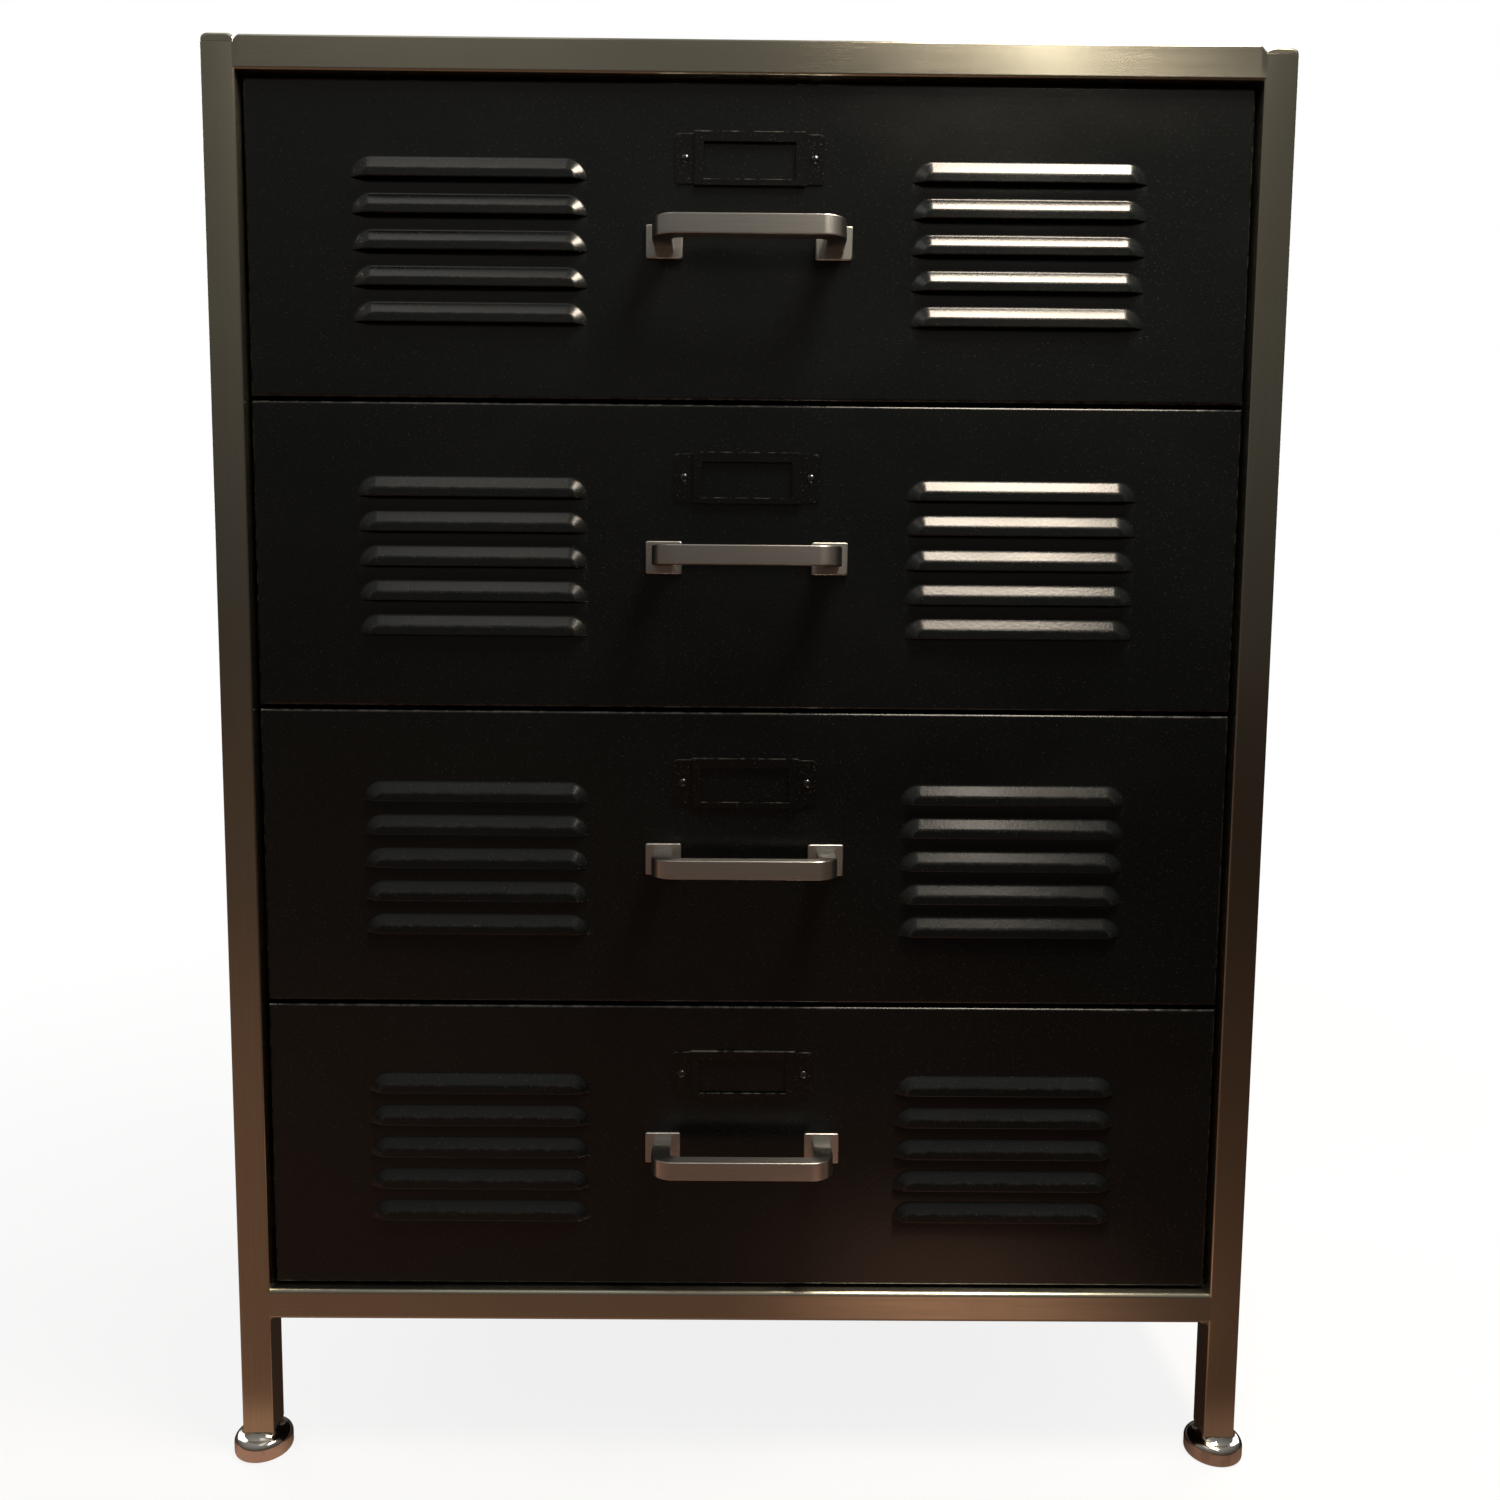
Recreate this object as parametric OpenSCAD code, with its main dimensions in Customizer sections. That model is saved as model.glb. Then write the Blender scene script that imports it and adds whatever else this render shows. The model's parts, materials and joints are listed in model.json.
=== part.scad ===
// Tall four-drawer chest in the style of a steel locker.
// +Z is up and the drawers open towards -Y. The origin is on the floor, in the middle of the
// whole chest, handles and feet included.

/* [Frame] */
// Width over the posts
frame_w = 813; // [700:1:950]
// Depth over the posts
frame_d = 457; // [440:1:520]
// Height from the floor to the top of the posts
frame_h = 1113; // [1000:1:1250]
// Side of the square tube
tube = 25; // [24:1:30]
// Wall of the square tube
tube_wall = 1.5; // [1.2:0.1:2]
// Outer corner radius of the square tube
tube_r = 3; // [2.5:0.1:4]
// Floor to the underside of the bottom rails
leg_clear = 118; // [90:1:160]
// Height of the posts above the top rails
post_rise = 0.6; // [0.2:0.1:3]

/* [Drawers] */
// Gap between one drawer front and the next
drawer_gap = 3; // [2:0.1:5]
// Gap between a drawer front and the frame around it
edge_gap = 2.5; // [2:0.1:4]
// Distance that the drawer fronts sit behind the frame's face
front_recess = 8; // [4:0.5:10]
// Depth of the folded edge round a drawer front
front_depth = 18; // [14:1:20]
// Thickness of the panels' and trays' sheet steel
sheet = 1; // [0.8:0.1:1.5]
// Height of the tray's sides
tray_h = 176; // [120:1:180]
// Distance that a drawer opens
travel = 350; // [300:10:350]

/* [Louvres] */
// Width of a louvre along its slit
louvre_w = 178; // [150:1:190]
// Height of a louvre
louvre_h = 16; // [12:0.5:16]
// Distance that a louvre stands out of the front
louvre_out = 5.5; // [4:0.5:6]
// Distance from one louvre to the next
louvre_pitch = 26.4; // [24:0.1:28]
// Louvres in a column
louvre_count = 5; // [3:1:5]
// Distance of each column's middle from the drawer's middle
louvre_x = 211; // [195:1:225]

/* [Handles] */
// Distance between a handle's two screws
pull_centres = 128; // [96:1:160]
// Distance from a drawer front to the handle's outer face
pull_out = 48; // [36:1:50]
// Height of the handle's bar
bar_h = 14.5; // [12:0.5:18]
// Thickness of the handle's bar
bar_t = 12; // [9:0.5:12]
// Outer radius of the handle's bends
bend_r = 18; // [15:1:20]
// Width of a back plate
plate_w = 28; // [24:0.5:30]
// Height of a back plate
plate_h = 25; // [20:0.5:30]
// Thickness of a back plate
plate_t = 3; // [2:0.5:4]

/* [Label holders] */
// Width over the ears
label_w = 112; // [100:1:120]
// Height
label_h = 39; // [34:1:42]
// Drawer front's top edge to the holder's top edge
label_drop = 36; // [30:1:40]
// Width of the window
window_w = 69; // [60:1:72]
// Height of the window
window_h = 27; // [22:0.5:27]
// Distance between the two rivets
rivet_centres = 97.5; // [94:0.5:102]

/* [Slides] */
// Height of a slide
slide_h = 45; // [35:1:45]
// Thickness of a slide
slide_t = 12.7; // [12.7:0.1:13]
// Thickness of a slide's sheet steel
slide_wall = 1.2; // [1:0.1:1.2]

/* [Feet] */
// Radius of a foot
foot_r = 23; // [18:0.5:24]
// Height of a foot
foot_h = 20; // [14:0.5:24]

/* [Hidden] */

round_fn = 48;
drawer_count = 4;
eps = 0.01;

// Frame
half_w = frame_w / 2;
post_x = half_w - tube / 2;
inner_x = half_w - tube;
foot_overhang = foot_r - tube / 2;
handle_proud = pull_out - front_recess;
front_y = handle_proud - (handle_proud + frame_d + foot_overhang) / 2;
back_y = front_y + frame_d;
post_front_y = front_y + tube / 2;
post_back_y = back_y - tube / 2;
inner_front_y = front_y + tube;
inner_back_y = back_y - tube;
span_x = 2 * inner_x;
span_y = inner_back_y - inner_front_y;
rail_top_z = frame_h - post_rise;
top_rail_z = rail_top_z - tube / 2;
bottom_rail_z = leg_clear + tube / 2;
cap_h = 6.5;
cap_round = 6;
cap_plug_h = 18;
bore = tube - 2 * tube_wall;
bore_r = tube_r - tube_wall;
plug = bore - 0.4;
foot_plug_h = 20;
foot_base_r = 0.15 * foot_h;
foot_rim_r = 0.3 * foot_h;
foot_rim_z = 0.5 * foot_h;
foot_neck_r = tube / 2 + 1;
foot_neck_drop = 0.6;
mid_y = (inner_front_y + inner_back_y) / 2;

// Panels
panel_recess = 8;
panel_lip = 4.5;
deck_lip = 20;
deck_drop = 0.8;
back_lip = 14;
back_recess = 4;
screw_r = 2;
screw_head_r = 4;
screw_head_h = 2.2;
screw_rows = 3;
screw_inset = 60;
panel_screw_len = 8;
hole_fit = 0.05;
hole_len = 6;

// Drawers, counted from the top
opening_low = leg_clear + tube;
opening_high = rail_top_z - tube;
opening_h = opening_high - opening_low;
opening_mid_z = (opening_high + opening_low) / 2;
fronts_h = opening_h - 2 * edge_gap - (drawer_count - 1) * drawer_gap;
front_h = fronts_h / drawer_count;
front_w = span_x - 2 * edge_gap;
front_sheet = 1.5;
front_lip = 20;
front_face_y = front_y + front_recess;
tray_front_y = front_face_y + front_depth;
tray_w = span_x - 2 * slide_t;
tray_lift = 14;
function drawer_low(i) = opening_high - edge_gap - i * front_h - (i - 1) * drawer_gap;
function drawer_mid(i) = drawer_low(i) + front_h / 2;

// Slides
slide_fit = 0.3;
slide_overlap = 50;
slide_len = travel + slide_overlap;
slide_outer_lip = slide_t - 2.5;
slide_middle_lip = slide_t - 1.8;
slide_start_y = tray_front_y + 2;
slide_lift = 60;
middle_len = slide_len - 20;
support_t = 12;
support_h = 24;
slide_screw_ends = 30;
slide_screw_len = 10;
function slide_z(i) = drawer_low(i) + slide_lift;

// Louvres
louvre_wall = 1.2;
hood_face_h = 0.36 * louvre_h;
hood_bend_h = 0.47 * louvre_h;
hood_flare_h = 0.88 * louvre_h;
hood_bend_out = 0.86 * louvre_out;
hood_flare_out = 0.12 * louvre_out;
slit_h = 0.62 * louvre_h;
hollow_out = louvre_out - louvre_wall;
hollow_end_out = 0.33 * louvre_out;
hollow_back = -2 * front_sheet;

// Handles and label holders
handle_screw_len = 14;
label_t = 1.2;
label_lift = 2;
label_frame_w = 83;
label_frame_rise = 1.3;
label_lip = 4.5;
rivet_r = 1.6;
rivet_head_r = 3.2;
rivet_tail_h = 1;
function label_z(i) = drawer_low(i) + front_h - label_drop - label_h / 2;

// A square with true arcs at its corners
module rounded_square(size, r) {
    square([size[0] - 2 * r, size[1]], center = true);
    square([size[0], size[1] - 2 * r], center = true);
    for (sx = [-1, 1], sy = [-1, 1])
        translate([sx * (size[0] / 2 - r), sy * (size[1] / 2 - r)])
            circle(r, $fn = round_fn);
}

module tube_section() {
    difference() {
        rounded_square([tube, tube], tube_r);
        rounded_square([bore, bore], bore_r);
    }
}

// A plug that fits in the end of a post
module plug_form(h) {
    linear_extrude(h)
        rounded_square([plug, plug], bore_r);
}

// Screws that hold the back panel: rows of one column, on the side given by sx
module back_screw_places(sx) {
    for (k = [0 : screw_rows - 1])
        translate([
            sx * inner_x,
            back_y - back_recess - back_lip / 2,
            opening_low + screw_inset + k * (opening_h - 2 * screw_inset) / (screw_rows - 1)
        ])
            rotate([0, -sx * 90, 0])
                children();
}

module post(sx, y) {
    post_low = foot_h;
    post_high = frame_h - cap_h;
    color("#8a857c")
        difference() {
            translate([sx * post_x, y, post_low])
                linear_extrude(post_high - post_low)
                    tube_section();
            if (y > 0)
                back_screw_places(sx)
                    cylinder(r = screw_r + hole_fit, h = 4 * tube_wall, center = true, $fn = round_fn);
        }
}

module rail_across(y, z) {
    color("#8a857c")
        translate([-inner_x, y, z])
            rotate([90, 0, 90])
                linear_extrude(span_x)
                    tube_section();
}

module rail_along(sx, z) {
    color("#8a857c")
        translate([sx * post_x, inner_back_y, z])
            rotate([90, 0, 0])
                linear_extrude(span_y)
                    tube_section();
}

// The end view of a cap's head: square below, round at its top edges
module cap_profile() {
    translate([-tube / 2, 0])
        square([tube, cap_h - cap_round + eps]);
    translate([-tube / 2 + cap_round, 0])
        square([tube - 2 * cap_round, cap_h]);
    for (sx = [-1, 1])
        intersection() {
            translate([sx * (tube / 2 - cap_round), cap_h - cap_round])
                circle(cap_round, $fn = round_fn);
            translate([-tube / 2, 0])
                square([tube, cap_h]);
        }
}

module post_cap() {
    intersection() {
        linear_extrude(cap_h)
            rounded_square([tube, tube], tube_r);
        translate([0, tube / 2, 0])
            rotate([90, 0, 0])
                linear_extrude(tube)
                    cap_profile();
        translate([-tube / 2, 0, 0])
            rotate([90, 0, 90])
                linear_extrude(tube)
                    cap_profile();
    }
    translate([0, 0, -cap_plug_h])
        plug_form(cap_plug_h + eps);
}

module at_posts() {
    for (sx = [-1, 1], y = [post_front_y, post_back_y])
        translate([sx * post_x, y, 0])
            children();
}

module post_caps() {
    color("#8a857c")
        at_posts()
            translate([0, 0, frame_h - cap_h])
                post_cap();
}

// Half of a foot's section: a flat base, an upright side with rounded edges, and a shoulder
// that meets the post
module foot_section() {
    square([foot_r - foot_base_r, foot_rim_z]);
    translate([0, foot_base_r])
        square([foot_r, foot_rim_z - foot_base_r]);
    translate([foot_r - foot_base_r, foot_base_r])
        circle(foot_base_r, $fn = round_fn);
    translate([foot_r - foot_rim_r, foot_rim_z])
        circle(foot_rim_r, $fn = round_fn);
    polygon([
        [0, 1], [foot_r - foot_rim_r, 1], [foot_r - foot_rim_r, foot_rim_z + foot_rim_r],
        [foot_neck_r, foot_h - foot_neck_drop], [tube / 2, foot_h], [0, foot_h]
    ]);
}

module foot_glide() {
    rotate_extrude($fn = 2 * round_fn)
        intersection() {
            foot_section();
            square([foot_r, foot_h]);
        }
    translate([0, 0, foot_h - eps])
        plug_form(foot_plug_h);
}

module foot_glides() {
    color("#c9c4bb")
        at_posts()
            foot_glide();
}

// A sheet with a lip folded round its four edges, lying in XY with its skin on top
module folded_panel(size, lip) {
    difference() {
        translate([-size[0] / 2, -size[1] / 2, -lip])
            cube([size[0], size[1], lip]);
        translate([-size[0] / 2 + sheet, -size[1] / 2 + sheet, -lip - 1])
            cube([size[0] - 2 * sheet, size[1] - 2 * sheet, lip + 1 - sheet]);
    }
}

module deck(z) {
    color("#1b1b1d")
        translate([0, mid_y, z])
            folded_panel([span_x, span_y], deck_lip);
}

module top_panel() {
    deck(rail_top_z - deck_drop);
}

module bottom_panel() {
    deck(opening_low - deck_drop);
}

module back_panel() {
    color("#1b1b1d")
        difference() {
            translate([0, back_y - back_recess - back_lip, opening_mid_z])
                rotate([90, 0, 0])
                    folded_panel([span_x, opening_h], back_lip);
            for (sx = [-1, 1])
                back_screw_places(sx)
                    cylinder(r = screw_r + hole_fit, h = hole_len, center = true, $fn = round_fn);
        }
}

module side_panel(sx) {
    color("#1b1b1d")
        translate([sx * (half_w - panel_recess), mid_y, opening_mid_z])
            rotate([0, sx * 90, 0])
                folded_panel([opening_h, span_y], panel_lip);
}

module pan_screw(shank) {
    cylinder(r = screw_head_r, h = screw_head_h, $fn = round_fn);
    translate([0, 0, -shank])
        cylinder(r = screw_r, h = shank + eps, $fn = round_fn);
}

module panel_screws() {
    color("#b8b8b4")
        for (sx = [-1, 1])
            back_screw_places(sx)
                translate([0, 0, sheet])
                    pan_screw(panel_screw_len);
}

module slide_supports(sx) {
    low_x = sx > 0 ? inner_x : -inner_x - support_t;
    color("#77777a")
        difference() {
            for (i = [1 : drawer_count])
                translate([low_x, inner_front_y, slide_z(i) - support_h / 2])
                    cube([support_t, span_y, support_h]);
            slide_screw_places(sx)
                cylinder(r = screw_r + hole_fit, h = 4 * support_t, center = true, $fn = round_fn);
        }
}

// Both ends of every outer member on the side given by sx, with +Z pointing into the chest
module slide_screw_places(sx) {
    for (i = [1 : drawer_count], along = [slide_screw_ends, slide_len - slide_screw_ends])
        translate([sx * inner_x, slide_start_y + along, slide_z(i)])
            rotate([0, -sx * 90, 0])
                children();
}

// Countersunk screws that end flush with the outer member's web
module slide_screws() {
    color("#b8b8b4")
        for (sx = [-1, 1])
            slide_screw_places(sx)
                translate([0, 0, -slide_screw_len])
                    cylinder(r = screw_r, h = slide_screw_len + slide_wall, $fn = round_fn);
}

// One member of a slide: a web with a lip at its top and bottom. It starts web_t from the
// chest's side, its lips reach lip_t, and half its height is half_h.
module slide_member(i, sx, len, web_t, lip_t, half_h) {
    web_low = min(web_t, lip_t);
    web_high = max(web_t, lip_t);
    web_at = web_t < lip_t ? web_t : web_t - slide_wall;
    place_x = sx * inner_x;
    translate([place_x, slide_start_y, slide_z(i)])
        mirror([sx > 0 ? 1 : 0, 0, 0]) {
            translate([web_at, 0, -half_h])
                cube([slide_wall, len, 2 * half_h]);
            for (sz = [0, 1])
                mirror([0, 0, sz])
                    translate([web_low, 0, half_h - slide_wall])
                        cube([web_high - web_low, len, slide_wall]);
        }
}

module slide_outer(i) {
    color("#a9a9a6")
        difference() {
            for (sx = [-1, 1])
                slide_member(i, sx, slide_len, 0, slide_outer_lip, slide_h / 2);
            for (sx = [-1, 1])
                slide_screw_places(sx)
                    cylinder(r = screw_r + hole_fit, h = hole_len, center = true, $fn = round_fn);
        }
}

module slide_middle(i) {
    nest = slide_wall + slide_fit;
    color("#a9a9a6")
        for (sx = [-1, 1])
            slide_member(i, sx, middle_len, nest, slide_middle_lip, slide_h / 2 - nest);
}

module slide_inner(i) {
    web_gap = 2 * (slide_wall + slide_fit);
    color("#a9a9a6")
        for (sx = [-1, 1])
            slide_member(i, sx, slide_len, slide_t, web_gap, slide_h / 2 - web_gap);
}

// Section of a louvre's hood, seen along its slit: X is height above the slit, Y stands out.
// It has an upright face, a bend, a slope and a flared edge.
module hood_section() {
    polygon([
        [-eps, 0], [-eps, louvre_out], [hood_face_h, louvre_out], [hood_bend_h, hood_bend_out],
        [hood_flare_h, hood_flare_out], [louvre_h, 0]
    ]);
}

// Section of the hollow under a hood, which goes through the front's sheet
module hollow_section() {
    polygon([
        [-2 * eps, hollow_back], [-2 * eps, hollow_out], [hood_face_h, hollow_out],
        [slit_h, hollow_end_out], [slit_h, hollow_back]
    ]);
}

// A section carried along a slit that lies on X: straight in the middle, with a quarter turn
// at each end. It stands out towards +Z.
module along_slit() {
    straight = louvre_w - 2 * louvre_h;
    reach = 2 * louvre_h;
    translate([-straight / 2, 0, 0])
        rotate([90, 0, 90])
            linear_extrude(straight)
                children();
    for (sx = [-1, 1])
        translate([sx * straight / 2, 0, 0])
            intersection() {
                rotate_extrude($fn = round_fn)
                    intersection() {
                        children();
                        translate([0, -reach])
                            square([reach, 2 * reach]);
                    }
                translate([sx > 0 ? -eps : eps - reach, -eps, -reach])
                    cube([reach, reach, 2 * reach]);
            }
}

module at_louvres(i) {
    for (sx = [-1, 1], k = [0 : louvre_count - 1])
        translate([
            sx * louvre_x,
            front_face_y,
            drawer_mid(i) + ((louvre_count - 1) / 2 - k) * louvre_pitch - louvre_h / 2
        ])
            rotate([90, 0, 0])
                children();
}

module at_handle_ends(i) {
    for (sx = [-1, 1])
        translate([sx * pull_centres / 2, front_face_y, drawer_mid(i)])
            rotate([90, 0, 0])
                children();
}

module at_rivets(i) {
    for (sx = [-1, 1])
        translate([sx * rivet_centres / 2, front_face_y, label_z(i)])
            rotate([90, 0, 0])
                children();
}

// A box as wide and high as a drawer front less a margin all round, from one depth to another
module front_box(i, margin, from_y, to_y) {
    translate([-front_w / 2 + margin, front_face_y + from_y, drawer_low(i) + margin])
        cube([front_w - 2 * margin, to_y - from_y, front_h - 2 * margin]);
}

// A folded front: the face, four sides, and a lip behind them that the tray is welded to
module drawer_front(i) {
    color("#17171a")
        difference() {
            union() {
                front_box(i, 0, 0, front_depth);
                at_louvres(i)
                    along_slit()
                        hood_section();
            }
            front_box(i, front_sheet, front_sheet, front_depth - front_sheet);
            front_box(i, front_lip, front_depth / 2, front_depth + 1);
            at_louvres(i)
                along_slit()
                    hollow_section();
            at_handle_ends(i)
                cylinder(r = screw_r + hole_fit, h = hole_len, center = true, $fn = round_fn);
            at_rivets(i)
                cylinder(r = rivet_r + hole_fit, h = hole_len, center = true, $fn = round_fn);
        }
}

module drawer_tray(i) {
    color("#26262a")
        difference() {
            translate([-tray_w / 2, tray_front_y, drawer_low(i) + tray_lift])
                cube([tray_w, slide_len, tray_h]);
            translate([-tray_w / 2 + sheet, tray_front_y + sheet, drawer_low(i) + tray_lift + sheet])
                cube([tray_w - 2 * sheet, slide_len - 2 * sheet, tray_h]);
        }
}

// A handle seen from above: two legs, two round bends and a straight bar
module handle_plan() {
    outer_w = pull_centres + bar_h;
    leg_low = plate_t - eps;
    inner_r = bend_r - bar_t;
    difference() {
        union() {
            translate([-outer_w / 2, leg_low])
                square([outer_w, pull_out - bend_r - leg_low]);
            translate([-outer_w / 2 + bend_r, leg_low])
                square([outer_w - 2 * bend_r, pull_out - leg_low]);
            for (sx = [-1, 1])
                translate([sx * (outer_w / 2 - bend_r), pull_out - bend_r])
                    circle(bend_r, $fn = round_fn);
        }
        translate([-outer_w / 2 + bar_h, 0])
            square([outer_w - 2 * bar_h, pull_out - bar_t - inner_r]);
        translate([-outer_w / 2 + bar_h + inner_r, 0])
            square([outer_w - 2 * bar_h - 2 * inner_r, pull_out - bar_t]);
        for (sx = [-1, 1])
            translate([sx * (outer_w / 2 - bar_h - inner_r), pull_out - bar_t - inner_r])
                circle(inner_r, $fn = round_fn);
    }
}

module handle(i) {
    color("#9a9790")
        difference() {
            translate([0, front_face_y, drawer_mid(i)]) {
                for (sx = [-1, 1])
                    translate([sx * pull_centres / 2 - plate_w / 2, -plate_t, -plate_h / 2])
                        cube([plate_w, plate_t, plate_h]);
                translate([0, 0, -bar_h / 2])
                    mirror([0, 1, 0])
                        linear_extrude(bar_h)
                            handle_plan();
            }
            at_handle_ends(i)
                translate([0, 0, -1])
                    cylinder(r = screw_r + hole_fit, h = handle_screw_len + 1, $fn = round_fn);
        }
}

module handle_screws(i) {
    color("#b8b8b4")
        at_handle_ends(i)
            translate([0, 0, -front_sheet])
                mirror([0, 0, 1])
                    pan_screw(handle_screw_len);
}

// The holder's outline, with the ears lower than the frame between them
module label_outline() {
    rounded_square([label_w, label_h - 2 * label_frame_rise], 3);
    rounded_square([label_frame_w, label_h], 1);
}

module label_holder(i) {
    window_z = -label_h / 2 + label_lip;
    slot_h = label_h - label_lip - 3;
    color("#1b1b1d")
        difference() {
            translate([0, front_face_y, label_z(i)])
                rotate([90, 0, 0])
                    difference() {
                        union() {
                            linear_extrude(label_t)
                                label_outline();
                            translate([-label_frame_w / 2, -label_h / 2 + 1, 0])
                                cube([label_frame_w, label_h - 2, label_lift + label_t]);
                        }
                        translate([-window_w / 2, window_z, -1])
                            cube([window_w, window_h, 10]);
                        translate([-label_frame_w / 2 + sheet, window_z - 2, -1])
                            cube([label_frame_w - 2 * sheet, slot_h, label_lift + 1]);
                    }
            at_rivets(i)
                cylinder(r = rivet_r + hole_fit, h = hole_len, center = true, $fn = round_fn);
        }
}

// A rivet: a domed head, a shank through the holder and the front, and a flat tail
module rivet() {
    dome_r = 4;
    dome_z = label_t - sqrt(dome_r * dome_r - rivet_head_r * rivet_head_r);
    grip = label_t + front_sheet;
    intersection() {
        translate([0, 0, dome_z])
            sphere(dome_r, $fn = round_fn);
        translate([0, 0, label_t])
            cylinder(r = rivet_head_r + 1, h = dome_r, $fn = round_fn);
    }
    translate([0, 0, -front_sheet - eps])
        cylinder(r = rivet_r, h = grip + 2 * eps, $fn = round_fn);
    translate([0, 0, -front_sheet - rivet_tail_h])
        cylinder(r = rivet_head_r - 0.6, h = rivet_tail_h, $fn = round_fn);
}

module label_rivets(i) {
    color("#1b1b1d")
        at_rivets(i)
            rivet();
}

post(-1, post_front_y);  // post_front_left
post(1, post_front_y);  // post_front_right
post(-1, post_back_y);  // post_back_left
post(1, post_back_y);  // post_back_right
rail_across(post_front_y, top_rail_z);  // top_rail_front
rail_across(post_back_y, top_rail_z);  // top_rail_back
rail_along(-1, top_rail_z);  // top_rail_left
rail_along(1, top_rail_z);  // top_rail_right
rail_across(post_front_y, bottom_rail_z);  // bottom_rail_front
rail_across(post_back_y, bottom_rail_z);  // bottom_rail_back
rail_along(-1, bottom_rail_z);  // bottom_rail_left
rail_along(1, bottom_rail_z);  // bottom_rail_right
post_caps();
foot_glides();
top_panel();
bottom_panel();
back_panel();
side_panel(-1);  // side_panel_left
side_panel(1);  // side_panel_right
panel_screws();
slide_supports(-1);  // slide_supports_left
slide_supports(1);  // slide_supports_right
slide_screws();
for (i = [1 : drawer_count]) {
    slide_outer(i);
    slide_middle(i);
    slide_inner(i);
    drawer_front(i);
    drawer_tray(i);
    handle(i);
    handle_screws(i);
    label_holder(i);
    label_rivets(i);
}
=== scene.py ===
"""The looks of a tall steel chest of drawers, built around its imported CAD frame.

Shapes are worked out in millimetres, and finished() turns them into metres.
+Z is up, and the drawers open towards -Y.
"""

import json
import math

import bmesh
import bpy
from mathutils import Matrix, Vector


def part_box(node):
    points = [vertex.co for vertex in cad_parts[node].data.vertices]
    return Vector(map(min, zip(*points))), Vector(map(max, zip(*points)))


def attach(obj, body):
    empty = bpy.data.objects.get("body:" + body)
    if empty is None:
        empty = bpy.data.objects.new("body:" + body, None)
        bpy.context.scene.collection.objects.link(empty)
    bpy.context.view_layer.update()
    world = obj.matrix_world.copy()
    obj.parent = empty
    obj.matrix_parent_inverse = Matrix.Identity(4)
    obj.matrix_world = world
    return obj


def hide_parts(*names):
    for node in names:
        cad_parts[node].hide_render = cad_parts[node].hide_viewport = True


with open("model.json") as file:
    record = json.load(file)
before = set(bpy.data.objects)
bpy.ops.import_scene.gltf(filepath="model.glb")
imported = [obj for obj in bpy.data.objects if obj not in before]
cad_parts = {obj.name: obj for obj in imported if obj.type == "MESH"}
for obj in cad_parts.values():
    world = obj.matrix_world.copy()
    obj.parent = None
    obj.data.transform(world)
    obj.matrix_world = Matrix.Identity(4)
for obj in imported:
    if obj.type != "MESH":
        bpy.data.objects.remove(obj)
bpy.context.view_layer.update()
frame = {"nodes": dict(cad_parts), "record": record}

MM = 0.001
SIDES = (-1, 1)
DRAWERS = (1, 2, 3, 4)
BODY_OF = {n: body for body, nodes in frame["record"]["behaviour"]["bodies"].items() for n in nodes}
SLOT_OF = {row["node"]: row["material_slot"] for row in frame["record"]["subparts"]}


def box(node):
    """Lowest and highest corner of a CAD node, in millimetres."""
    low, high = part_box(node)
    return low / MM, high / MM


# ---------------------------------------------------------------- driving dimensions, millimetres

# Tubes. A rail's ends are ground down: (distance past the rail's end, share of the full drop).
TUBE_R = 1.5
TUBE_END_INSET = 0.3
TOP_RAIL_R = 2.0
TOP_RAIL_DROP = 4.5
BOTTOM_RAIL_R = 3.4
RAIL_ENDS = ((TUBE_R, 1.4), (0.3, 1.0), (-0.6, 0.62), (-1.6, 0.32), (-2.8, 0.1), (-4.2, 0.0))

# Fillets under the bottom rails: the left one's size and the right one's
FRONT_WELDS = (2.4, 6.0)
BACK_WELDS = (3.0, 2.6)
WELD_END = 1.2

# Caps, by side: the height of the upright sides, the width of the arch's ends, and how far
# the cap is lower than its CAD box
CAP_EDGE_R = 2.0
CAP_SIDE = {-1: 1.6, 1: 0.3}
CAP_ARCH = {-1: 5.5, 1: 7.5}
CAP_DROP = {-1: 0.0, 1: 2.2}

# Feet
FOOT_BASE_R = 3.0
FOOT_RIM_R = 6.0
FOOT_POST_GAP = 0.6

# Sheet metal
SHEET = 1.0
PANEL_FOLD_R = 1.6
TRAY_FOLD_R = 2.0
TRAY_HEM = 9.0
PAN_CORNER_R = 2.5
FRONT_DEPTH = 18.0
FRONT_FOLD_R = 2.4
FRONT_BACK_R = 1.6
FRONT_SHEET = 1.3
FRONT_LIP = 20.0
BUCKLE = 0.1
BUCKLE_EDGE = 30.0

# Louvres. From its slit a louvre leans back a little, bends at LOUVRE_BEND, and slopes down
# to meet the sheet at LOUVRE_FLARE.
LOUVRE_W = 178.0
LOUVRE_H = 16.0
LOUVRE_X = 211.0
LOUVRE_PITCH = 26.4
LOUVRE_COUNT = 5
LOUVRE_LEAN = 0.08
LOUVRE_BEND = 6.7
LOUVRE_BEND_WIDTH = 2.2
LOUVRE_FLARE = 15.2
LOUVRE_FLARE_WIDTH = 1.8

# Spacing of a front's points on its louvres and elsewhere, and how close two equal heights are
FINE_STEP = 0.8
COARSE_STEP = 20.0
SAME = 1e-6

# Handles
PULL_CENTRES = 128.0
BAR_H = 14.5
BAR_T = 12.0
BEND_R = 18.0
PLATE_W = 28.0
PLATE_H = 25.0
PLATE_T = 3.0
PLATE_CORNER_R = 1.6
PLATE_EDGE = ((0.9, 0.0), (0.55, 0.12), (0.15, 0.5), (0.0, 1.0))
HANDLE_EDGE = 0.9

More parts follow.
